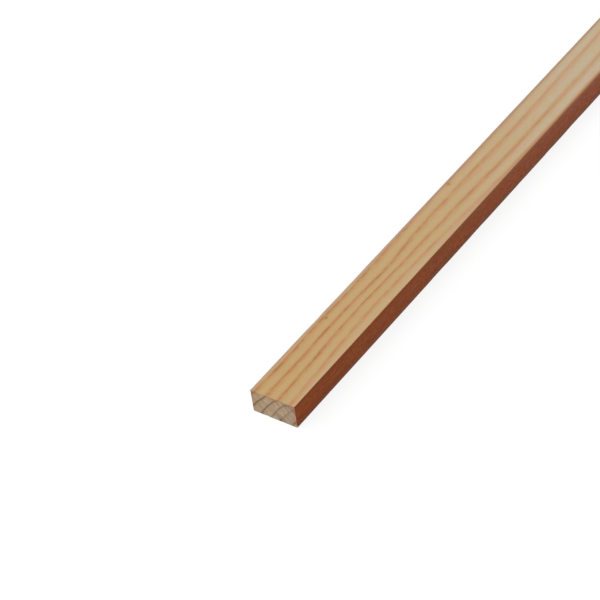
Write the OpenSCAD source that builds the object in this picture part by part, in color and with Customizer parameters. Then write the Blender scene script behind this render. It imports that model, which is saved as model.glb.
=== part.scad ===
// A dressed softwood plank: one straight strip sawn from the log, planed on its
// four long faces, with eased long arrises and square crosscut ends.
// It lies flat with its length along X, its width along Y and its thickness
// along Z, and the origin is at the middle of its underside.

/* [Stock] */
// Length between the two crosscut ends
plank_length = 1219; // [300:1:3658]
// Dressed width of the two wide faces
plank_width = 38; // [19:0.5:140]
// Dressed thickness between the two wide faces
plank_thickness = 19; // [12:0.5:64]

/* [Edges] */
// Radius that eases the four long arrises
arris_radius = 0.5; // [0.2:0.1:3]

/* [Hidden] */
$fn = 48;
// Pale tan of freshly planed softwood
wood_colour = [0.76, 0.62, 0.44];
// Centres of the four arris rounds, from the middle of the section
arris_across = plank_width / 2 - arris_radius;
arris_up = plank_thickness / 2 - arris_radius;

// Rectangle across the grain with its four corners eased to true arcs
module dressed_section() {
    square([plank_width, plank_thickness - 2 * arris_radius], center = true);
    square([plank_width - 2 * arris_radius, plank_thickness], center = true);
    for (side = [-1, 1], level = [-1, 1])
        translate([side * arris_across, level * arris_up])
            circle(r = arris_radius);
}

// The whole strip: the section run along the grain and cut square at both ends
module plank() {
    color(wood_colour)
        translate([-plank_length / 2, 0, plank_thickness / 2])
            rotate([90, 0, 90])
                linear_extrude(height = plank_length)
                    dressed_section();
}

plank();
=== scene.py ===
import math
from collections import namedtuple

import bpy
import numpy as np
from mathutils import Matrix, Vector


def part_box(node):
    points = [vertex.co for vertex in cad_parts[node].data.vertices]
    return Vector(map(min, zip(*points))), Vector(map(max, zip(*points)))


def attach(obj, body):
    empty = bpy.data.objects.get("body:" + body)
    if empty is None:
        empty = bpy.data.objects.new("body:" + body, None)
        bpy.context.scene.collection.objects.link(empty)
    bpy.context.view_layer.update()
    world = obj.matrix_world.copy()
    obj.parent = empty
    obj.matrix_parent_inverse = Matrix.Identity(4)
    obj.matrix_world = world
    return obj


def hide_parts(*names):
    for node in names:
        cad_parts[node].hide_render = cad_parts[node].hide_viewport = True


# A planed softwood plank, lying flat on a pale floor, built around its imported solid.
# Places in the tables are in millimetres: along from the near end, across from the middle of the width,
# and up from the underside.
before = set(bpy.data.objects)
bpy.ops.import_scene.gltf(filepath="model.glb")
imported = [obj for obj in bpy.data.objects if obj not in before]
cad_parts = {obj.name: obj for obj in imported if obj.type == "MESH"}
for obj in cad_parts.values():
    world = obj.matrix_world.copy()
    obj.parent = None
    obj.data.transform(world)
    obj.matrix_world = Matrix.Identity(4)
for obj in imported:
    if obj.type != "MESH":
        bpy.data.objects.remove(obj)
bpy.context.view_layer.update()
low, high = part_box("plank")

MM = 0.001
LENGTH = high.x - low.x
WIDTH = high.y - low.y
THICKNESS = high.z - low.z
NEAR_END = low.x
FAR_END = NEAR_END + LENGTH
# The far end as the tables count it
FAR = round(LENGTH / MM)
ARRIS_RADIUS = 0.5 * MM
# Slack against rounding where sums are compared
ROUNDING = 1e-6

# Mesh steps: across the faces, round an arris, along the grain, and close to the ends and the pin knots
STEP_ACROSS = 0.6 * MM
ARRIS_SEGMENTS = 4
STEP_ALONG = 3.6 * MM
STEP_FINE = 0.6 * MM
FINE_REACH = 4.0 * MM
# Mesh steps over the flats of the left edge, the top, the right edge and the underside, and points all round
EDGE_STEPS = round((THICKNESS - 2 * ARRIS_RADIUS) / STEP_ACROSS)
FACE_STEPS = round((WIDTH - 2 * ARRIS_RADIUS) / STEP_ACROSS)
SIDE_STEPS = (EDGE_STEPS, FACE_STEPS, EDGE_STEPS, FACE_STEPS)
AROUND = sum(SIDE_STEPS) + 4 * ARRIS_SEGMENTS

# The log's pith, below the plank and to its right, seen from the near end
PITH_ACROSS = -105.0 * MM
PITH_UP = -85.0 * MM
# Dark ring lines on the top face, from the pith side to the bark side: stations along the plank,
# and the place of each line across the width there
RING_STATIONS = (0, 40, 80, 110, 140, 160, 180, 200, 230, 260, 300, 340, 400, 520, 700, 900, 1080, FAR)
RING_LINES = (
    (-14.8, -12.9, -11.0, -10.3, -10.8, -11.3, -11.9, -13.1, -14.5,
     -15.7, -17.0, -18.0, -18.5, -18.0, -15.5, -15.0, -13.5, -12.0),
    (-4.7, -3.5, -1.9, -1.6, -2.3, -3.0, -3.3, -3.9, -4.5,
     -5.7, -6.9, -6.7, -6.7, -5.5, -4.5, -5.5, -3.5, -1.5),
    (5.6, 5.2, 6.1, 5.6, 4.3, 4.5, 6.4, 7.1, 7.5,
     7.4, 6.7, 6.3, 7.4, 9.5, 6.5, 4.5, 7.0, 8.5),
    (15.4, 14.8, 15.6, 15.1, 15.4, 15.6, 16.3, 17.0, 17.8,
     17.4, 16.9, 17.2, 17.3, 17.8, 17.5, 15.0, 17.0, 18.5),
)
# How far each line bows out of a true circle, by height
BEND_HEIGHTS = (0, 6, 10, 14, 17, 19)
RING_BENDS = (
    (0.5, 0.95, 1.35, 1.6, 1.35, 0.0),
    (0.45, 0.95, 1.05, 1.05, 0.95, 0.0),
    (1.3, 0.95, 0.95, 0.3, 0.1, 0.0),
    (0.6, 0.4, 0.2, 0.0, 0.0, 0.0),
)
# Widths of the rings inside and outside these lines, from the nearest line on
INNER_STEPS = (5.9 * MM, 7.7 * MM, 6.4 * MM, 6.4 * MM)
OUTER_STEPS = (6.9 * MM, 6.9 * MM)
# How dark the wood is across one growth ring, from its first earlywood to its last latewood
RING_PROFILE = ((0.0, 0.65), (0.05, 0.4), (0.16, 0.0), (0.48, 0.0), (0.72, 0.4), (0.84, 0.85), (0.91, 1.0),
                (0.96, 0.9), (1.0, 0.65))
DARKEST = 0.91
# How strong each ring's dark line is on the long faces, from the pith side
FACE_STRENGTHS = (0.95, 0.95, 0.95, 0.95, 0.68, 1.0, 0.88, 0.95, 0.95, 0.95)
# The narrow dark line of each ring on a sawn end, and how strong it is on each ring from the pith side
END_PROFILE = ((0.0, 0.3), (0.04, 0.0), (0.74, 0.0), (0.84, 0.5), (0.88, 1.0), (0.94, 1.0), (1.0, 0.3))
END_STRENGTHS = (0.6, 0.6, 0.6, 0.32, 0.55, 0.74, 1.0, 0.75)

# Pin knots on the top face: place along and across, half length and half width,
# and how strong each is, where a weak one is only a halo
PIN_KNOTS = (
    (85.2, 13.6, 1.9, 1.1, 1.0),
    (82.2, 15.7, 2.8, 1.3, 0.25),
    (248.2, 15.4, 1.7, 2.2, 0.72),
    (668.0, -9.0, 1.4, 1.0, 1.0),
    (1011.0, 11.5, 1.6, 1.3, 1.0),
)
# Dark spots on the sawn ends, and spots where the edges' stain has bled onto them:
# place across and up, radius, and how strong each is
END_SPOTS = (
    (18.2, 17.3, 0.7, 0.7),
    (-4.5, 0.9, 1.0, 1.0),
    (-4.9, 11.9, 0.7, 0.35),
    (18.2, 5.9, 0.9, 0.6),
    (11.8, 1.2, 0.9, 0.35),
)
BLED_SPOTS = ((-16.9, 3.5, 1.1, 0.6),)
# Small chips out of the rims of the sawn ends: place along, across and up, reach and depth
CHIPS = (
    (0, -19.0, 1.0, 1.3, 0.15),
    (0, 7.0, 0.0, 1.2, 0.15),
    (FAR, -12.0, 0.0, 1.6, 0.35),
    (FAR, 19.0, 1.2, 1.5, 0.4),
    (FAR, 9.0, 19.0, 1.2, 0.2),
)

# The long arrises, left and right on top, then right and left below: stations along the plank,
# how dark each arris is painted there, as painted shade on the lower arrises where the plank meets the floor
# and plain darkening on the top ones, and how far it is worn back, where minus is sharper than the drawn
# round
ARRIS_STATIONS = (0, 150, 220, 400, 800, FAR)
ARRIS_SHADE_AND_DARKENING = (
    (0.9, 0.8, 0.85, 0.8, 0.5, 0.6),
    (0.1, 0.0, 0.1, 0.1, 0.2, 0.2),
    (0.9, 0.85, 0.95, 1.0, 0.8, 0.85),
    (0.85, 0.9, 0.8, 0.75, 0.9, 0.8),
)
ARRIS_WEAR = (
    (-0.2, -0.06, 0.08, 0.48, 0.25, 0.2),
    (0.0, 0.0, 0.0, 0.0, 0.1, 0.1),
    (0.0, -0.03, -0.1, -0.12, 0.1, 0.1),
    (0.1, 0.0, 0.1, 0.15, 0.1, 0.1),
)
# How far from an arris its wear reaches
WEAR_REACH = 0.6 * MM
# How dark the left and lower rims of the sawn ends are, painted shade below and darkening on the left, and
# how far a rim faces left or down to be one
RIM_SHADE_AND_DARKENING = 0.9
RIM_SLANT = 0.1
# Where the narrow edges' stain starts and is full on the round of an arris, by how far it faces sideways
STAIN_STARTS = 0.35
STAIN_FULL = 0.7
# On one stretch the right edge's stain fades over its top arris: stations along the plank and how far it
# does so there, then the share of stain by how far down from the arris a point is,
# where minus is on the top face
BLEED_STATIONS = (160, 370, 500, 800)
BLEED_LEVELS = (0.0, 1.0, 1.0, 0.0)
BLEED_PLACES = (-3.6, -2.2, -1.1, -0.4, 0.4, 1.2, 2.4)
BLEED_SHARES = (0.0, 0.24, 0.52, 0.68, 0.8, 0.88, 1.0)

# Fine relief: raised latewood on the long faces, and the pits of pin knots and spots
RAISED_GRAIN = 0.06 * MM
KNOT_PIT = 0.12 * MM
# Dents along the arrises: their count, the part of the length that they keep to, their reach,
# the greatest depth, the range of its share before it is squared, and the seed for all that
ARRIS_DENTS = 60
DENT_SPAN = (0.03, 0.97)
DENT_REACH = (5 * MM, 16 * MM)
DENT_DEPTH = 0.28 * MM
DENT_SHARES = (0.2, 1)
SEED = 12
# How far back the near cut leans at its top, and over what length the mesh follows it
CUT_LEAN = 1.05 * MM
CUT_REACH = 12.0 * MM
# Relief of the sawn ends: raised latewood, and saw marks with their slope, their bend in each metre
# and the count of marks after which they swell again
END_RIDGE = 0.08 * MM
SAW_PITCH = 1.7 * MM
SAW_DEPTH = 0.05 * MM
SAW_SLOPE = 0.35
SAW_BEND = 4
SAW_SWELL = 4.3

# Bake map: the long faces in two strips, one above the other, and the two ends beside each other on top,
# drawn wider than they are
STRIPS = 2
STRIP_HEIGHT = 0.42
STRIP_GAP = 0.01
END_STRETCH = 1.9
FAR_END_SHIFT = 0.5

# Noise drawn out along the grain: the length and width of its features, where in the noise it is taken,
# how many finer layers it has and how strong they are
Grain = namedtuple("Grain", "length width shift detail roughness", defaults=(2.0, 0.5))
# A tint: where it starts and where it is full, by a noise level, a mark or a place, its share when full,
# and its display colour from 0 to 255
Tint = namedtuple("Tint", "starts full share colour")
# Painted shade and darkening in dashes: their noise, its levels where they start and are full, the share
# between them, and a colour
ShadeInDashes = namedtuple("ShadeInDashes", "grain starts full least colour")
# Where a point is in millimetres, as the tables count it
Place = namedtuple("Place", "along across up")
# The levels that most noise stays between, and its middle
NOISE_SPAN = (0.3, 0.7)
NOISE_MIDDLE = 0.5

# Ring lines on the long faces: how far they wander, as a share of a ring, and how uneven and broken they are
RING_WANDER = Grain(60, 6, 0.0)
WANDER_REACH = 0.09
RING_UNEVEN = Grain(220, 9, 3.0)
UNEVEN_SHARES = (0.78, 1.04)
RING_BREAKS = Grain(16, 2.2, 43.0)
BREAK_SHARES = (0.74, 1.18)
# The wood pales over this distance from the near end, by a power on the faces and on the edges,
# and past the photograph's edge it goes back to this share of that
PALE_REACH = 420
PALE_POWER = 2.1
EDGE_POWER = 1.6
BACK_PLACES = (500, 850)
BACK_SHARE = 0.3
# The right part of the faces has paled somewhat from the near end on
PALE_SIDE = (-8, -18)
PALE_SIDE_SHARE = 0.35
# Colours of the pale faces, where the wood hasn't paled and where it has: earlywood, the warm shoulder
# of a ring line and the line itself, and how dark the wood is where the shoulder is full
EARLYWOOD = ((195, 163, 113), (194, 178, 153))
SHOULDER = ((194, 141, 93), (195, 160, 129))
LATEWOOD = ((165, 110, 65), (180, 149, 112))
SHOULDER_LEVEL = 0.45
FIBRES = Grain(45, 0.7, 7.0, 3.0, 0.6)
FACE_FIBRES = Tint(0.65, 0.35, 0.14, (150, 112, 72))
# Patterns of the pale faces: resin canals, a warm blush and a straw tone
FACE_PATTERNS = (
    (Grain(10, 0.4, 11.0, 1.0), Tint(0.68, 0.78, 0.4, (140, 96, 60))),
    (Grain(13, 4, 17.0), Tint(0.48, 0.68, 0.28, (208, 150, 112))),
    (Grain(6, 3, 53.0), Tint(0.45, 0.68, 0.4, (186, 170, 108))),
)
# Margins of the pale faces: the left one is greyer and darker, more so further along, the near rim a little,
# and the right one has a warm painted highlight
GREYER_MARGIN = ((174, 152, 148), (142, 122, 110))
LEFT_MARGIN = (15.6, 17.4)
GREYER_PLACES = (0, 300)
GREYER_SHARES = (0.22, 0.52)
NEAR_RIM = (4.0, 1.2)
NEAR_RIM_SHARE = 0.12
RIGHT_MARGIN_HIGHLIGHT = Tint(-15.5, -17.5, 0.18, (222, 160, 118))
# Stain of the narrow edges, where it hasn't paled and where it has, with its streaks, ring lines and fibres
STAIN = ((160, 72, 10), (178, 100, 76))
STAIN_STREAKS = ((Grain(130, 2.5, 23.0), Tint(0.35, 0.65, 0.5, (142, 68, 20))),)
STAIN_LINES = Tint(0.0, 1.25, 0.375, (112, 52, 22))
STAIN_FIBRES = Tint(0.65, 0.35, 0.22, (96, 46, 20))
# Patterns of the stain: mottle, dark and pale flecks, and blotches
STAIN_PATTERNS = (
    (Grain(6, 1.8, 31.0), Tint(0.4, 0.65, 0.4, (178, 84, 28))),
    (Grain(3.5, 1.7, 67.0), Tint(0.5, 0.66, 0.36, (112, 38, 8)), Tint(0.5, 0.34, 0.32, (188, 104, 56))),
    (Grain(12, 5, 61.0), Tint(0.42, 0.65, 0.4, (138, 78, 32))),
)
# Bands of the stain by height: a plain upper one, a line of painted shade under the arris,
# two of deep red painted shade towards the near end, and painted contact shade at the foot
UPPER_STAIN = ((138, 66, 2), (160, 96, 60))
UPPER_BAND = (14.5, 17.0)
UPPER_SHARE = 0.65
SHADE_UNDER_ARRIS = Tint(16.8, 17.8, 0.25, (90, 66, 16))
NEAR_END_SHADE_BANDS = ((8.5, 6.5), (15.0, 16.5))
NEAR_END_SHADE = Tint(75, 45, 0.55, (143, 54, 0))
FOOT_SHADE = Tint(5.0, 1.5, 0.4, (134, 104, 84))
# The scuffed lower corner at the near end, with its dark bruises and pale scrapes
CORNER_ALONG = (14, 0)
CORNER_UP = (9, 3)
SCUFFS = Grain(2.5, 1.8, 83.0)
SCUFF_TINTS = (Tint(0.48, 0.6, 0.95, (84, 24, 4)), Tint(0.5, 0.36, 0.4, (206, 110, 60)))
# Painted shade and darkening on the arrises and the ends' rims, and the halo and the heart of a pin knot
FACE_SHADE_AND_DARKENING = ShadeInDashes(Grain(14, 1.2, 37.0), 0.35, 0.6, 0.5, (84, 68, 58))
KNOT_TINTS = (Tint(0.02, 0.4, 0.45, (192, 130, 76)), Tint(0.3, 0.95, 0.6, (128, 86, 42)))
# Finish of the long faces: roughness from earlywood to the ring lines, the levels it goes by,
# how much the fibres count in them, and the height of the fibres
FACE_ROUGHNESS = (0.62, 0.5)
ROUGH_LEVELS = (0.2, 1.2)
ROUGH_FIBRES = 0.5
FIBRE_HEIGHT = 0.03 * MM

# Sawn ends: their ground from pale to ring shoulders, a speckle that also frays the lines, and a mottle
END_GROUND = (204, 179, 148)
END_SHOULDER = Tint(0.0, 1.0, 0.22, (168, 130, 92))
SPECKLE = Grain(0.5, 0.5, 0.0)
FRAY_REACH = 0.1
END_MOTTLE = ((Grain(1.6, 1.6, 5.0), Tint(0.35, 0.65, 0.3, (160, 130, 100))),)
# Rays towards the pith, by turn and by ring, fainter on the left, with pale streaks between them on the right
RAYS_BY_TURN = 75.0
RAYS_BY_RING = 0.35
RAY_DETAIL = 3.0
RAY_ROUGHNESS = 0.6
RAY_TINT = Tint(0.42, 0.62, 0.6, (136, 112, 90))
RAY_PLACES = (6.0, -2.0)
RAY_LEVELS = (0.6, 1.0)
STREAK_TINT = Tint(0.5, 0.38, 0.24, (214, 190, 162))
STREAK_PLACES = (3.0, -3.0)
END_LINES = Tint(0.0, 1.0, 0.84, (106, 66, 28))
END_SPECKLE = Tint(0.4, 0.7, 0.25, (120, 92, 68))
# Tints by place: ochre on the left, grey on the right, warm at the top and the right edge, pale at the foot
END_TINTS = (
    ("across", Tint(4.0, 14.0, 0.16, (172, 142, 84))),
    ("across", Tint(-5.0, -9.0, 0.1, (116, 96, 108))),
    ("up", Tint(15.0, 18.5, 0.28, (182, 124, 66))),
    ("across", Tint(-16.0, -18.5, 0.28, (190, 104, 70))),
    ("up", Tint(3.5, 1.0, 0.25, (162, 154, 156))),
)
# Painted shade on the lower rims of the ends, by the floor, and darkening on their left rims
END_SHADE_AND_DARKENING = ShadeInDashes(Grain(3, 3, 71.0), 0.4, 0.6, 0.2, (84, 66, 52))
BLED_TINT = Tint(0.0, 1.0, 1.0, (136, 58, 24))
SPOT_TINT = Tint(0.0, 1.0, 0.9, (70, 48, 34))
END_ROUGHNESS = (0.75, 0.9)
SPECKLE_HEIGHT = 0.08 * MM
# How strongly the wood mirrors, where 0.5 is usual
WOOD_SPECULAR = 0.15

# Camera: place in millimetres in the part's frame, heading from +X, angle down, roll and lens
CAMERA_PLACE = (-1439.01, -829.06, 1118.9)
CAMERA_HEADING = 43.3673
CAMERA_DOWN = 40.9356
CAMERA_ROLL = 11.7255
CAMERA_LENS = 140.677
CAMERA_SENSOR = 36.0

# Light: an even world and one broad soft lamp from the upper left
WORLD_LIGHT = 0.62
LAMP_LIGHT = 1.62
LAMP_SPREAD = 60.0
LAMP_FROM = (-0.45, 0.6, 0.9)
WHITE = (1.0, 1.0, 1.0, 1.0)
# Floor: its size, how far it lies below the plank, its tone for light and as it is seen,
# and the glow that whitens it
FLOOR_SIZE = 40.0
FLOOR_DROP = 0.1 * MM
FLOOR_TONE = (0.6, 0.6, 0.6, 1.0)
SEEN_TONE = (0.18, 0.18, 0.18, 1.0)
FLOOR_GLOW = 0.84


def smooth_through(places, heights, at):
    """Heights at some points of a smooth curve that has these heights at these places."""
    place, height = np.array(places, float), np.array(heights, float)
    slope = np.gradient(height, place)
    span = np.clip(np.searchsorted(place, at, side="right") - 1, 0, len(place) - 2)
    width = place[span + 1] - place[span]
    t = np.clip((at - place[span]) / width, 0, 1)
    start = (1 + 2 * t) * (1 - t) ** 2 * height[span]
    leave = t * (1 - t) ** 2 * width * slope[span]
    stop = t**2 * (3 - 2 * t) * height[span + 1]
    arrive = t**2 * (t - 1) * width * slope[span + 1]
    return start + leave + stop + arrive


def ring_number(along, across, up):
    """Growth rings counted out from the pith side at these points. A ring ends at a whole number."""
    radius = np.hypot(across - PITH_ACROSS, up - PITH_UP)
    lines = []
    for places, bends in zip(RING_LINES, RING_BENDS):
        place = smooth_through(RING_STATIONS, places, (along - NEAR_END) / MM) * MM
        bend = smooth_through(BEND_HEIGHTS, bends, up / MM) * MM
        lines.append(np.hypot(place - PITH_ACROSS, THICKNESS - PITH_UP) + bend)
    inner = [lines[0] - depth for depth in np.cumsum(INNER_STEPS)[::-1]]
    outer = [lines[-1] + depth for depth in np.cumsum(OUTER_STEPS)]
    edges = inner + lines + outer
    number = (radius - edges[0]) / INNER_STEPS[-1]
    for count, (inside, outside) in enumerate(zip(edges[:-1], edges[1:])):
        number = np.where(radius >= inside, count + (radius - inside) / (outside - inside), number)
    return number + DARKEST


def latewood(number):
    """How dark the wood is, from 0 to 1, at a count of growth rings."""
    share, dark = np.array(RING_PROFILE).T
    return np.interp(number % 1, share, dark)


def section_points():
    """Points round the section, up the left edge and on over the top: places, directions out and turns."""
    across = WIDTH / 2 - ARRIS_RADIUS
    top = THICKNESS - ARRIS_RADIUS
    centres = np.array(((across, top), (-across, top), (-across, ARRIS_RADIUS), (across, ARRIS_RADIUS)))
    points = []
    turns = []
    for side, counted in enumerate(SIDE_STEPS):
        flat_turn = side * math.pi / 2
        out = np.array((math.cos(flat_turn), math.sin(flat_turn)))
        start = centres[side - 1] + ARRIS_RADIUS * out
        stop = centres[side] + ARRIS_RADIUS * out
        for step in range(counted):
            points.append(start + (stop - start) * step / counted)
            turns.append(flat_turn)
        for step in range(ARRIS_SEGMENTS):
            turn = flat_turn + math.pi / 2 * step / ARRIS_SEGMENTS
            points.append(centres[side] + ARRIS_RADIUS * np.array((math.cos(turn), math.sin(turn))))
            turns.append(turn)
    turns = np.array(turns)
    return np.array(points), np.stack((np.cos(turns), np.sin(turns)), 1), turns


def stations():
    """Places along the plank where the mesh has a ring of points, closer together at ends and knots."""
    count = round(FINE_REACH / STEP_FINE)
    fine = np.arange(-count, count + 1) * STEP_FINE
    middles = [NEAR_END, FAR_END] + [NEAR_END + knot[0] * MM for knot in PIN_KNOTS]
    even = np.linspace(NEAR_END, FAR_END, round(LENGTH / STEP_ALONG) + 1)
    clear = np.min([np.abs(even - middle) for middle in middles], axis=0) > FINE_REACH + STEP_FINE
    close = np.concatenate([middle + fine for middle in middles])
    inside = (close > NEAR_END - STEP_FINE / 4) & (close < FAR_END + STEP_FINE / 4)
    places = np.sort(np.concatenate((even[clear], close[inside])))
    return places[np.diff(places, prepend=places[0] - STEP_FINE) > STEP_FINE / 2 - ROUNDING]


def knot_share(along, across, up):
    """How much of a pin knot is at each point, from 0 to 1."""
    share = np.zeros_like(along)
    for place, middle, half_length, half_width, strong in PIN_KNOTS:
        ahead = (along - NEAR_END - place * MM) / (half_length * MM)
        aside = (across - middle * MM) / (half_width * MM)
        below = (up - THICKNESS) / ARRIS_RADIUS
        share = np.maximum(share, strong * np.exp(-(ahead**2 + aside**2 + below**2)))
    return share


def spot_share(spots, across, up):
    """How much of these spots is at each point of a sawn end, from 0 to 1."""
    share = np.zeros_like(across)
    for middle, height, reach, strong in spots:
        apart = np.hypot(across - middle * MM, up - height * MM) / (reach * MM)
        share = np.maximum(share, strong * np.exp(-(apart**2)))
    return share


def chip_depth(places):
    """How deep the chips out of the end rims are at these points, and how much surface they have torn off."""
    depth = np.zeros(places.shape[:-1])
    torn = np.zeros(places.shape[:-1])
    for along, across, up, reach, deep in CHIPS:
        middle = np.array((NEAR_END + along * MM, across * MM, up * MM))
        apart = np.linalg.norm(places - middle, axis=-1) / (reach * MM)
        share = np.clip(1 - apart**2, 0, 1)
        depth = np.maximum(depth, deep * MM * share**2)
        torn = np.maximum(torn, share)
    return depth, torn


def arris_dents(along, turns):
    """Depth of the small handling dents along the arrises, by station and point round the section."""
    chance = np.random.default_rng(SEED)
    depth = np.zeros((len(along), len(turns)))
    for dent in range(ARRIS_DENTS):
        corner = (dent % 4 + 0.5) * math.pi / 2
        middle = NEAR_END + LENGTH * chance.uniform(*DENT_SPAN)
        reach = chance.uniform(*DENT_REACH)
        deep = DENT_DEPTH * chance.uniform(*DENT_SHARES) ** 2
        near = np.clip(1 - ((along - middle) / reach) ** 2, 0, 1) ** 2
        round_corner = np.clip(np.cos(2 * (turns - corner)), 0, 1) * (np.cos(turns - corner) > 0)
        depth += deep * near[:, None] * round_corner[None, :]
    return depth


def arris_wear(along, points):
    """How far wear carries the points of the long faces inwards, by station and point round the section."""
    corners = np.array(((WIDTH / 2, THICKNESS), (-WIDTH / 2, THICKNESS), (-WIDTH / 2, 0), (WIDTH / 2, 0)))
    depth = np.zeros((len(along), AROUND))
    for corner, levels in zip(corners, ARRIS_WEAR):
        apart = np.linalg.norm(points - corner, axis=1) / WEAR_REACH
        level = smooth_through(ARRIS_STATIONS, levels, (along - NEAR_END) / MM) * MM
        depth += level[:, None] * np.exp(-(apart**2))
    return depth


def cut_lean(along, up):
    """How far the near crosscut, which isn't quite square, carries these points along the grain."""
    return CUT_LEAN * up / THICKNESS * np.clip(1 - (along - NEAR_END) / CUT_REACH, 0, 1)


def narrow_share(grid, turns):
    """How much of the narrow edges' stain is at each point of the long faces, from 0 to 1."""
    crisp = np.clip((np.abs(np.cos(turns)) - STAIN_STARTS) / (STAIN_FULL - STAIN_STARTS), 0, 1)
    across, up = grid[0, :, 1], grid[0, :, 2]
    faded = np.interp((THICKNESS - up - across - WIDTH / 2) / MM, BLEED_PLACES, BLEED_SHARES)
    faded = np.where((across < 0) & (up > THICKNESS / 2), faded, crisp)
    level = np.interp((grid[:, 0, 0] - NEAR_END) / MM, BLEED_STATIONS, BLEED_LEVELS)
    return crisp + (faded - crisp) * level[:, None]


def shade_and_darkening_share(grid, turns):
    """How dark each point of the long faces is painted: painted shade on the lower arrises and rims,
    darkening above and on the left.
    """
    along = (grid[:, 0, 0] - NEAR_END) / MM
    shade_and_darkening = np.zeros(grid.shape[:2])
    quarter = (turns // (math.pi / 2)).astype(int)
    for count, levels in enumerate(ARRIS_SHADE_AND_DARKENING):
        on_arris = np.abs(np.sin(2 * turns)) * (quarter == count)
        shade_and_darkening = np.maximum(shade_and_darkening, smooth_through(ARRIS_STATIONS, levels, along)[:, None] * on_arris)
    # The rims of the ends: painted shade on the lower ones, by the floor, and darkening on the left ones
    rim = RIM_SHADE_AND_DARKENING * ((np.cos(turns) > RIM_SLANT) | (np.sin(turns) < -RIM_SLANT))
    shade_and_darkening[(0, -1), :] = np.maximum(shade_and_darkening[(0, -1), :], rim)
    return shade_and_darkening


def build_skin():
    """The long faces: a grid of points, by station and by place round the section, and their marks."""
    points, out, turns = section_points()
    along = stations()
    grid = np.empty((len(along), AROUND, 3))
    grid[:, :, 0] = along[:, None]
    grid[:, :, 1:] = points
    number = ring_number(grid[:, :, 0], grid[:, :, 1], grid[:, :, 2])
    knots = knot_share(grid[:, :, 0], grid[:, :, 1], grid[:, :, 2])
    knots[(0, -1), :] = np.maximum(knots[(0, -1), :], spot_share(END_SPOTS, points[:, 0], points[:, 1]))
    chipped, torn = chip_depth(grid)
    marked = arris_dents(along, turns) + arris_wear(along, points) + chipped
    lift = RAISED_GRAIN * (latewood(number) - 0.5) - KNOT_PIT * knots - marked
    grid[:, :, 0] += cut_lean(grid[:, :, 0], grid[:, :, 2])
    grid[:, :, 1:] += lift[:, :, None] * out
    grid[0, :, 0] += chipped[0]
    grid[-1, :, 0] -= chipped[-1]
    return grid, number, knots, torn, turns


def build_end(outward):
    """The points inside one sawn end, with saw marks and raised rings. Its border is the skin's."""
    rows, columns = EDGE_STEPS + 1, FACE_STEPS + 1
    across = np.linspace(WIDTH / 2 - ARRIS_RADIUS, ARRIS_RADIUS - WIDTH / 2, columns)
    up = np.linspace(THICKNESS - ARRIS_RADIUS, ARRIS_RADIUS, rows)
    grid = np.empty((rows, columns, 3))
    grid[:, :, 0] = NEAR_END if outward < 0 else FAR_END
    grid[:, :, 1] = across[None, :]
    grid[:, :, 2] = up[:, None]
    number = ring_number(grid[:, :, 0], grid[:, :, 1], grid[:, :, 2])
    chipped, _ = chip_depth(grid)
    sweep = grid[:, :, 2] + SAW_SLOPE * grid[:, :, 1] + SAW_BEND * grid[:, :, 1] ** 2
    turn = 2 * math.pi * sweep / SAW_PITCH
    saw = SAW_DEPTH * np.sin(turn) * np.sin(turn / SAW_SWELL)
    spots = spot_share(END_SPOTS, grid[:, :, 1], grid[:, :, 2])
    bled = spot_share(BLED_SPOTS, grid[:, :, 1], grid[:, :, 2])
    grid[:, :, 0] += cut_lean(grid[:, :, 0], grid[:, :, 2])
    grid[:, :, 0] += outward * (saw + END_RIDGE * (latewood(number) - 0.5) - KNOT_PIT * spots - chipped)
    return grid, number, spots, bled


def end_faces(border, inside, outward):
    """Faces of one end, from the numbers of its border points and of its inside points."""
    rows, columns = inside.shape
    rails = (inside[::-1, 0], inside[0, :], inside[:, -1], inside[-1, ::-1])
    faces = []
    for row in range(rows - 1):
        for column in range(columns - 1):
            faces.append((inside[row, column], inside[row, column + 1], inside[row + 1, column + 1],
                          inside[row + 1, column]))
    first = 0
    for rail, counted in zip(rails, SIDE_STEPS):
        for step in range(counted):
            faces.append((border[first + step], border[first + step + 1], rail[step + 1], rail[step]))
        first += counted
        for step in range(ARRIS_SEGMENTS):
            faces.append((border[first + step], border[(first + step + 1) % AROUND], rail[-1]))
        first += ARRIS_SEGMENTS
    return faces if outward > 0 else [face[::-1] for face in faces]


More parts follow.
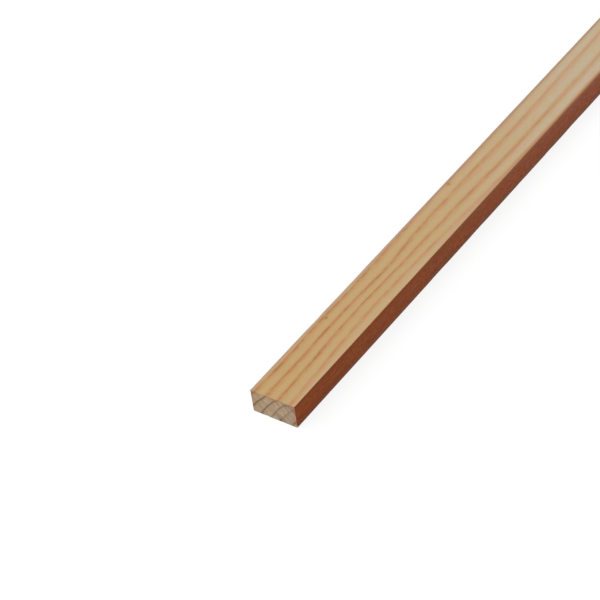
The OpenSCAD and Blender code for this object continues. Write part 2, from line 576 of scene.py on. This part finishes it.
def build_plank():
    """The whole plank as one closed mesh, with its ring count and its marks as point attributes."""
    grid, number, knots, torn, turns = build_skin()
    stops = len(grid)
    numbers = np.arange(stops * AROUND).reshape(stops, AROUND)
    ahead = np.roll(numbers, -1, axis=1)
    skin = np.stack((numbers[:-1], ahead[:-1], ahead[1:], numbers[1:]), -1).reshape(-1, 4)
    faces = [tuple(face) for face in skin.tolist()]
    places = [grid.reshape(-1, 3)]
    rings = [number.ravel()]
    marks = [knots.ravel()]
    stains = [(narrow_share(grid, turns) * (1 - torn)).ravel()]
    # How dark the arrises and end rims are painted: painted shade below, by the floor, and darkening above
    shade_and_darkening_marks = [(shade_and_darkening_share(grid, turns) * (1 - torn)).ravel()]
    total = stops * AROUND
    for row, outward in ((0, -1), (-1, 1)):
        inner, inner_number, spots, bled = build_end(outward)
        inside = np.arange(total, total + inner_number.size).reshape(inner_number.shape)
        faces += [tuple(int(point) for point in face) for face in end_faces(numbers[row], inside, outward)]
        places.append(inner.reshape(-1, 3))
        rings.append(inner_number.ravel())
        marks.append(spots.ravel())
        stains.append(bled.ravel())
        shade_and_darkening_marks.append(np.zeros(inner_number.size))
        total += inner_number.size
    mesh = bpy.data.meshes.new("plank_timber")
    mesh.from_pydata(np.concatenate(places).tolist(), [], faces)
    mesh.polygons.foreach_set("use_smooth", np.ones(len(faces), bool))
    mesh.polygons.foreach_set("material_index", (np.arange(len(faces)) >= len(skin)).astype(np.int32))
    mark_points(mesh, "ring", rings)
    mark_points(mesh, "knot", marks)
    mark_points(mesh, "narrow", stains)
    mark_points(mesh, "shade_and_darkening", shade_and_darkening_marks)
    sharpen_ends(mesh, stops)
    bake_map(mesh, grid, len(skin))
    mesh.validate()
    return mesh


def mark_points(mesh, name, values):
    """Gives the mesh a number at each point, from the values of the skin and of the two ends."""
    attribute = mesh.attributes.new(name, "FLOAT", "POINT")
    attribute.data.foreach_set("value", np.concatenate(values).astype(np.float32))


def sharpen_ends(mesh, stops):
    """Keeps the edge between each sawn end and the long faces crisp."""
    ends = np.empty(len(mesh.edges) * 2, np.int32)
    mesh.edges.foreach_get("vertices", ends)
    stop = ends.reshape(-1, 2) // AROUND
    same = stop[:, 0] == stop[:, 1]
    sharp = same & ((stop[:, 0] == 0) | (stop[:, 0] == stops - 1))
    mesh.attributes.new("sharp_edge", "BOOLEAN", "EDGE").data.foreach_set("value", sharp)


def bake_map(mesh, grid, skin_faces):
    """A map without overlaps for whoever paints the plank: strips that follow the grain, and the two ends."""
    strips = strip_map(grid)
    places = np.empty(len(mesh.vertices) * 3)
    mesh.vertices.foreach_get("co", places)
    corners = np.empty(len(mesh.loops), np.int32)
    mesh.loops.foreach_get("vertex_index", corners)
    ends = end_map(places.reshape(-1, 3)[corners[skin_faces * 4:]])
    layer = mesh.uv_layers.new(name="OFBake")
    layer.uv.foreach_set("vector", np.concatenate((strips, ends)).astype(np.float32).ravel())


def strip_map(grid):
    """Places on the bake map of the corners of the long faces."""
    section = grid[0, :, 1:]
    steps = np.linalg.norm(np.roll(section, -1, axis=0) - section, axis=1)
    girth = np.concatenate(((0,), np.cumsum(steps)))
    along = (grid[:, 0, 0] - NEAR_END) / LENGTH
    strip = np.minimum((along[:-1] * STRIPS + ROUNDING).astype(int), STRIPS - 1)
    start = np.array([along[:-1][strip == count][0] for count in range(STRIPS)])
    reach = np.array([along[1:][strip == count][-1] for count in range(STRIPS)]) - start
    left = (along[:-1] - start[strip]) / reach.max()
    right = (along[1:] - start[strip]) / reach.max()
    foot = STRIP_GAP + strip * (STRIP_HEIGHT + STRIP_GAP)
    rise = girth / girth[-1] * STRIP_HEIGHT
    uv = np.empty((len(grid) - 1, AROUND, 4, 2))
    for corner, (edge, shift) in enumerate(((left, 0), (left, 1), (right, 1), (right, 0))):
        uv[:, :, corner, 0] = STRIP_GAP + (1 - 2 * STRIP_GAP) * edge[:, None]
        uv[:, :, corner, 1] = foot[:, None] + rise[None, shift:shift + AROUND]
    return uv.reshape(-1, 2)


def end_map(corners):
    """Places on the bake map of the corners of the sawn ends."""
    end_height = 1 - (STRIPS * (STRIP_HEIGHT + STRIP_GAP) + 2 * STRIP_GAP)
    scale = end_height / THICKNESS
    far = corners[:, 0] > NEAR_END + LENGTH / 2
    uv = np.empty((len(corners), 2))
    uv[:, 0] = STRIP_GAP + (corners[:, 1] + WIDTH / 2) * scale * END_STRETCH + far * FAR_END_SHIFT
    uv[:, 1] = 1 - STRIP_GAP - end_height + corners[:, 2] * scale
    return uv


def srgb(red, green, blue):
    """A display colour from 0 to 255 as the linear colour that a node socket takes."""
    share = np.array((red, green, blue)) / 255
    linear = np.where(share <= 0.04045, share / 12.92, ((share + 0.055) / 1.055) ** 2.4)
    return (*linear.tolist(), 1.0)


def put(tree, kind, inputs=None, **settings):
    """A new node with these settings, whose inputs take numbers, colours or other nodes' outputs."""
    made = tree.nodes.new(kind)
    for name, value in settings.items():
        setattr(made, name, value)
    for name, value in (inputs or {}).items():
        if isinstance(value, bpy.types.NodeSocket):
            tree.links.new(value, made.inputs[name])
        else:
            made.inputs[name].default_value = value
    return made


def reckon(tree, operation, *values):
    """The result of one sum on numbers or outputs."""
    return put(tree, "ShaderNodeMath", dict(enumerate(values)), operation=operation).outputs[0]


def blend(tree, share, first, second):
    """Two colours mixed by a share."""
    sockets = {0: share, 6: first, 7: second}
    return put(tree, "ShaderNodeMix", sockets, data_type="RGBA").outputs[2]


def remap(tree, value, source, target=(0.0, 1.0)):
    """A value carried from one range to another and held inside it."""
    sockets = {"Value": value, "From Min": source[0], "From Max": source[1],
               "To Min": target[0], "To Max": target[1]}
    return put(tree, "ShaderNodeMapRange", sockets).outputs["Result"]


def mark(tree, name):
    """A point attribute of the mesh."""
    return put(tree, "ShaderNodeAttribute", attribute_name=name).outputs["Fac"]


def ramp(tree, value, stops):
    """A value read through a list of (place, height) stops."""
    made = put(tree, "ShaderNodeValToRGB", {"Fac": value})
    elements = made.color_ramp.elements
    while len(elements) < len(stops):
        elements.new(0.5)
    for element, (place, height) in zip(elements, stops):
        element.position = place
        element.color = (height, height, height, 1.0)
    return made.outputs["Color"]


def point_place(tree):
    """Where a point of the plank is, in millimetres."""
    place = put(tree, "ShaderNodeTexCoord").outputs["Object"]
    parts = put(tree, "ShaderNodeSeparateXYZ", {"Vector": place}).outputs
    along = reckon(tree, "SUBTRACT", parts["X"], NEAR_END)
    return Place(*(reckon(tree, "DIVIDE", part, MM) for part in (along, parts["Y"], parts["Z"])))


def grain_noise(tree, grain):
    """Noise drawn out along the grain."""
    place = put(tree, "ShaderNodeTexCoord").outputs["Object"]
    fine = 1 / (grain.width * MM)
    stretch = (1 / (grain.length * MM), fine, fine)
    sockets = {"Vector": place, "Location": (grain.shift,) * 3, "Scale": stretch}
    moved = put(tree, "ShaderNodeMapping", sockets).outputs["Vector"]
    return noise_level(tree, moved, grain.detail, grain.roughness)


def noise_level(tree, vector, detail, roughness):
    """Noise at a place, with features about one unit apart."""
    sockets = {"Vector": vector, "Scale": 1.0, "Detail": detail, "Roughness": roughness}
    return put(tree, "ShaderNodeTexNoise", sockets).outputs["Fac"]


def tinted(tree, colour, value, tint, where=None):
    """A colour with a tint over it, by a value, and only as far as another share lets it."""
    share = remap(tree, value, (tint.starts, tint.full), (0.0, tint.share))
    if where is not None:
        share = reckon(tree, "MULTIPLY", share, where)
    return blend(tree, share, colour, srgb(*tint.colour))


def patterned(tree, colour, patterns):
    """A colour with noise patterns over it, each with its own tints."""
    for grain, *tints in patterns:
        noise = grain_noise(tree, grain)
        for tint in tints:
            colour = tinted(tree, colour, noise, tint)
    return colour


def shaded_and_darkened(tree, colour, shade_and_darkening):
    """A colour with painted shade and darkening over it, in dashes."""
    dashes = remap(tree, grain_noise(tree, shade_and_darkening.grain), (shade_and_darkening.starts, shade_and_darkening.full), (shade_and_darkening.least, 1.0))
    share = reckon(tree, "MULTIPLY", mark(tree, "shade_and_darkening"), dashes)
    return blend(tree, share, colour, srgb(*shade_and_darkening.colour))


def paled(tree, share, colours):
    """A colour as it is near the near end, and as it is where the wood has paled, mixed by a share."""
    near, far = colours
    return blend(tree, share, srgb(*near), srgb(*far))


def pale_share(tree, place, power):
    """How far the wood has paled, by its distance from the near end."""
    reach = remap(tree, place.along, (0.0, PALE_REACH))
    back = remap(tree, place.along, BACK_PLACES, (1.0, BACK_SHARE))
    return reckon(tree, "MULTIPLY", reckon(tree, "POWER", reach, power), back)


def line_strength(tree, number, strengths):
    """How strong a ring's line is at a count of rings, from a list that starts on the pith side."""
    rings = len(strengths)
    stops = [((count + DARKEST) / rings, strong) for count, strong in enumerate(strengths)]
    return ramp(tree, reckon(tree, "DIVIDE", number, rings), stops)


def new_material(name):
    """An empty node material and its tree."""
    made = bpy.data.materials.new(name)
    made.use_nodes = True
    made.node_tree.nodes.clear()
    return made, made.node_tree


def close_material(tree, colour, roughness, height, distance):
    """The shader that every wood surface ends in."""
    bump = put(tree, "ShaderNodeBump", {"Height": height, "Distance": distance, "Strength": 1.0})
    sockets = {"Base Color": colour, "Roughness": roughness, "Normal": bump.outputs["Normal"],
               "Specular IOR Level": WOOD_SPECULAR}
    shader = put(tree, "ShaderNodeBsdfPrincipled", sockets)
    put(tree, "ShaderNodeOutputMaterial", {"Surface": shader.outputs["BSDF"]})


def ring_darkness(tree):
    """How dark the ring lines make the long faces."""
    wander = reckon(tree, "SUBTRACT", grain_noise(tree, RING_WANDER), NOISE_MIDDLE)
    number = reckon(tree, "MULTIPLY_ADD", wander, WANDER_REACH, mark(tree, "ring"))
    dark = ramp(tree, reckon(tree, "FRACT", number), RING_PROFILE)
    uneven = remap(tree, grain_noise(tree, RING_UNEVEN), NOISE_SPAN, UNEVEN_SHARES)
    broken = remap(tree, grain_noise(tree, RING_BREAKS), NOISE_SPAN, BREAK_SHARES)
    for strength in (line_strength(tree, number, FACE_STRENGTHS), uneven, broken):
        dark = reckon(tree, "MULTIPLY", dark, strength)
    return dark


def pale_faces(tree, place, dark, fibres):
    """Colour of the top and the underside: earlywood and ring lines, with fibres and patterns over them."""
    side = remap(tree, place.across, PALE_SIDE, (0.0, PALE_SIDE_SHARE))
    pale = reckon(tree, "MINIMUM", reckon(tree, "ADD", pale_share(tree, place, PALE_POWER), side), 1.0)
    colour = paled(tree, pale, EARLYWOOD)
    colour = blend(tree, remap(tree, dark, (0.0, SHOULDER_LEVEL)), colour, paled(tree, pale, SHOULDER))
    colour = blend(tree, remap(tree, dark, (SHOULDER_LEVEL, 1.0)), colour, paled(tree, pale, LATEWOOD))
    colour = tinted(tree, colour, fibres, FACE_FIBRES)
    return patterned(tree, colour, FACE_PATTERNS)


def margin_tints(tree, place, colour, pale):
    """The pale faces' colour with their greyer left margin and near rim, and a warm painted highlight on the
    right margin.
    """
    left = remap(tree, place.across, LEFT_MARGIN)
    marked = reckon(tree, "MULTIPLY", left, remap(tree, place.along, GREYER_PLACES, GREYER_SHARES))
    rim = remap(tree, place.along, NEAR_RIM, (0.0, NEAR_RIM_SHARE))
    colour = blend(tree, reckon(tree, "MAXIMUM", marked, rim), colour, paled(tree, pale, GREYER_MARGIN))
    # A warm painted highlight along the right margin, inside the arris
    return tinted(tree, colour, place.across, RIGHT_MARGIN_HIGHLIGHT)


def stained_edges(tree, place, dark, fibres, pale):
    """Colour of the narrow edges: red-brown stain with its patterns and upper band, painted shade under the
    arris, near the near end and at the foot, and a scuffed corner.
    """
    stain = patterned(tree, paled(tree, pale, STAIN), STAIN_STREAKS)
    stain = tinted(tree, stain, dark, STAIN_LINES)
    stain = tinted(tree, stain, fibres, STAIN_FIBRES)
    stain = patterned(tree, stain, STAIN_PATTERNS)
    upper = remap(tree, place.up, UPPER_BAND, (0.0, UPPER_SHARE))
    stain = blend(tree, upper, stain, paled(tree, pale, UPPER_STAIN))
    # A line of painted shade under the arris
    stain = tinted(tree, stain, place.up, SHADE_UNDER_ARRIS, reckon(tree, "SUBTRACT", 1.0, pale))
    # Deep red painted shade in two bands towards the near end
    bands = reckon(tree, "MAXIMUM", *(remap(tree, place.up, band) for band in NEAR_END_SHADE_BANDS))
    stain = tinted(tree, stain, place.along, NEAR_END_SHADE, bands)
    # Painted contact shade at the foot, where the edge meets the floor
    stain = tinted(tree, stain, place.up, FOOT_SHADE)
    near = remap(tree, place.along, CORNER_ALONG)
    corner = reckon(tree, "MULTIPLY", near, remap(tree, place.up, CORNER_UP))
    scuffs = grain_noise(tree, SCUFFS)
    for tint in SCUFF_TINTS:
        stain = tinted(tree, stain, scuffs, tint, corner)
    return stain


def planed_wood():
    """Material of the long faces: pale wood with a painted highlight on its right margin, stained narrow
    edges with bands of painted shade, arrises with painted shade and darkening, and pin knots.
    """
    made, tree = new_material("planed_pine")
    place = point_place(tree)
    dark = ring_darkness(tree)
    fibres = grain_noise(tree, FIBRES)
    pale = pale_share(tree, place, EDGE_POWER)
    colour = margin_tints(tree, place, pale_faces(tree, place, dark, fibres), pale)
    colour = blend(tree, mark(tree, "narrow"), colour, stained_edges(tree, place, dark, fibres, pale))
    # Painted shade on the lower arrises and rims, darkening on the top arrises
    colour = shaded_and_darkened(tree, colour, FACE_SHADE_AND_DARKENING)
    knot = mark(tree, "knot")
    for tint in KNOT_TINTS:
        colour = tinted(tree, colour, knot, tint)
    level = reckon(tree, "MULTIPLY_ADD", fibres, ROUGH_FIBRES, dark)
    close_material(tree, colour, remap(tree, level, ROUGH_LEVELS, FACE_ROUGHNESS), fibres, FIBRE_HEIGHT)
    return made


def rayed(tree, place, colour):
    """The sawn ends' colour with dark rays towards the pith and pale streaks between them."""
    across = reckon(tree, "SUBTRACT", place.across, PITH_ACROSS / MM)
    up = reckon(tree, "SUBTRACT", place.up, PITH_UP / MM)
    by_turn = reckon(tree, "MULTIPLY", reckon(tree, "ARCTAN2", up, across), RAYS_BY_TURN)
    by_ring = reckon(tree, "MULTIPLY", mark(tree, "ring"), RAYS_BY_RING)
    spokes = put(tree, "ShaderNodeCombineXYZ", {"X": by_turn, "Y": by_ring}).outputs["Vector"]
    rays = noise_level(tree, spokes, RAY_DETAIL, RAY_ROUGHNESS)
    colour = tinted(tree, colour, rays, RAY_TINT, remap(tree, place.across, RAY_PLACES, RAY_LEVELS))
    return tinted(tree, colour, rays, STREAK_TINT, remap(tree, place.across, STREAK_PLACES))


def sawn_end():
    """Material of the crosscut ends: darker, with thin ring lines, rays and speckle."""
    made, tree = new_material("end_grain")
    place = point_place(tree)
    speckle = grain_noise(tree, SPECKLE)
    fray = reckon(tree, "SUBTRACT", speckle, NOISE_MIDDLE)
    number = reckon(tree, "MULTIPLY_ADD", fray, FRAY_REACH, mark(tree, "ring"))
    share = reckon(tree, "FRACT", number)
    strength = line_strength(tree, number, END_STRENGTHS)
    lines = reckon(tree, "MULTIPLY", ramp(tree, share, END_PROFILE), strength)
    colour = tinted(tree, srgb(*END_GROUND), ramp(tree, share, RING_PROFILE), END_SHOULDER)
    colour = patterned(tree, colour, END_MOTTLE)
    colour = rayed(tree, place, colour)
    colour = tinted(tree, colour, lines, END_LINES)
    colour = tinted(tree, colour, speckle, END_SPECKLE)
    for axis, tint in END_TINTS:
        colour = tinted(tree, colour, getattr(place, axis), tint)
    # Painted shade along the lower rim of the end, darkening along its left rim
    colour = shaded_and_darkened(tree, colour, END_SHADE_AND_DARKENING)
    colour = tinted(tree, colour, mark(tree, "narrow"), BLED_TINT)
    colour = tinted(tree, colour, mark(tree, "knot"), SPOT_TINT)
    close_material(tree, colour, remap(tree, speckle, NOISE_SPAN, END_ROUGHNESS), speckle, SPECKLE_HEIGHT)
    return made


def add_plank():
    """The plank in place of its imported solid."""
    mesh = build_plank()
    mesh.materials.append(planed_wood())
    mesh.materials.append(sawn_end())
    plank = bpy.data.objects.new("plank_timber", mesh)
    bpy.context.scene.collection.objects.link(plank)
    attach(plank, "root")
    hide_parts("plank")


def white_for_camera(tree):
    """1 for rays that show the background, also mirrored or through glass, and 0 for other light."""
    path = put(tree, "ShaderNodeLightPath")
    seen = reckon(tree, "MAXIMUM", path.outputs["Is Camera Ray"], path.outputs["Is Glossy Ray"])
    return reckon(tree, "MAXIMUM", seen, path.outputs["Is Transmission Ray"])


def pale_floor():
    """Material of the floor: it reads as white, and keeps a soft shadow."""
    made, tree = new_material("pale_floor")
    seen = white_for_camera(tree)
    matt = put(tree, "ShaderNodeBsdfDiffuse", {"Color": blend(tree, seen, FLOOR_TONE, SEEN_TONE)})
    glow = put(tree, "ShaderNodeEmission", {"Strength": reckon(tree, "MULTIPLY", seen, FLOOR_GLOW)})
    both = put(tree, "ShaderNodeAddShader", {0: matt.outputs["BSDF"], 1: glow.outputs["Emission"]})
    put(tree, "ShaderNodeOutputMaterial", {"Surface": both.outputs["Shader"]})
    return made


def add_floor():
    """A broad flat floor just under the plank."""
    half = FLOOR_SIZE / 2
    corners = [(x, y, -FLOOR_DROP) for x, y in ((-half, -half), (half, -half), (half, half), (-half, half))]
    mesh = bpy.data.meshes.new("floor")
    mesh.from_pydata(corners, [], [(0, 1, 2, 3)])
    mesh.materials.append(pale_floor())
    floor = bpy.data.objects.new("floor", mesh)
    bpy.context.scene.collection.objects.link(floor)


def add_light():
    """An even white world, and one broad soft lamp."""
    world = bpy.data.worlds.new("studio")
    world.use_nodes = True
    tree = world.node_tree
    tree.nodes.clear()
    strength = remap(tree, white_for_camera(tree), (0.0, 1.0), (WORLD_LIGHT, 1.0))
    sky = put(tree, "ShaderNodeBackground", {"Color": WHITE, "Strength": strength})
    put(tree, "ShaderNodeOutputWorld", {"Surface": sky.outputs["Background"]})
    bpy.context.scene.world = world
    data = bpy.data.lights.new("soft_lamp", "SUN")
    data.energy = LAMP_LIGHT
    data.angle = math.radians(LAMP_SPREAD)
    lamp = bpy.data.objects.new("soft_lamp", data)
    lamp.rotation_mode = "QUATERNION"
    lamp.rotation_quaternion = Vector(LAMP_FROM).to_track_quat("Z", "Y")
    bpy.context.scene.collection.objects.link(lamp)


def add_camera():
    """The photograph's view: the near end low down, and the plank running off to the upper right."""
    heading, down, roll = (math.radians(angle) for angle in (CAMERA_HEADING, CAMERA_DOWN, CAMERA_ROLL))
    ahead = Vector((math.cos(heading), math.sin(heading), 0))
    forward = math.cos(down) * ahead + Vector((0, 0, -math.sin(down)))
    level = forward.cross(Vector((0, 0, 1))).normalized()
    upright = level.cross(forward)
    right = math.cos(roll) * level - math.sin(roll) * upright
    top = math.sin(roll) * level + math.cos(roll) * upright
    data = bpy.data.cameras.new("camera")
    data.lens = CAMERA_LENS
    data.sensor_width = CAMERA_SENSOR
    camera = bpy.data.objects.new("camera", data)
    turned = Matrix((right, top, -forward)).transposed().to_4x4()
    camera.matrix_world = Matrix.Translation(Vector(CAMERA_PLACE) * MM) @ turned
    bpy.context.scene.collection.objects.link(camera)
    bpy.context.scene.camera = camera


add_plank()
add_floor()
add_light()
add_camera()
bpy.context.scene.view_settings.view_transform = "Standard"
